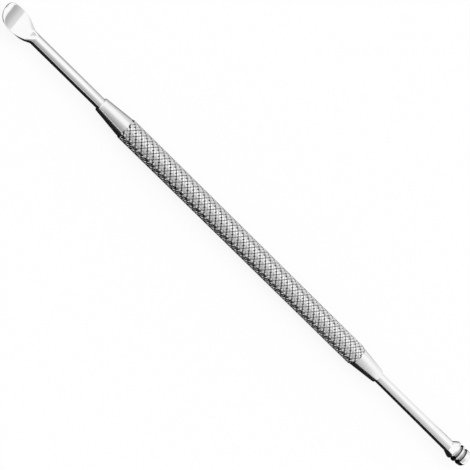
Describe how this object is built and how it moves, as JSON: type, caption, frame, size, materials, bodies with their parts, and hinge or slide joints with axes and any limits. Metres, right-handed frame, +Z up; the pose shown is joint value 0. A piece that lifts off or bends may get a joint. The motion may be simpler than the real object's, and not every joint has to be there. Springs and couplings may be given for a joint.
{
  "type": "ear pick",
  "caption": "Double-ended stainless steel ear pick: knurled round grip between turned cones, a small scoop on one slim shank and a ringed head on the other.",
  "frame": {"origin": "on the surface that the tool lies on, under the middle of its length", "axes": "+X along the tool from the scoop to the ringed head, +Z up out of the scoop's face"},
  "size_m": [0.1405, 0.0058, 0.0051],
  "materials": {
    "satin_steel": "satin",
    "polished_steel": "gloss"
  },
  "bodies": {
    "root": {"handle": "satin_steel", "spoon_pick": "polished_steel", "ring_pick": "polished_steel"}
  },
  "joints": []
}
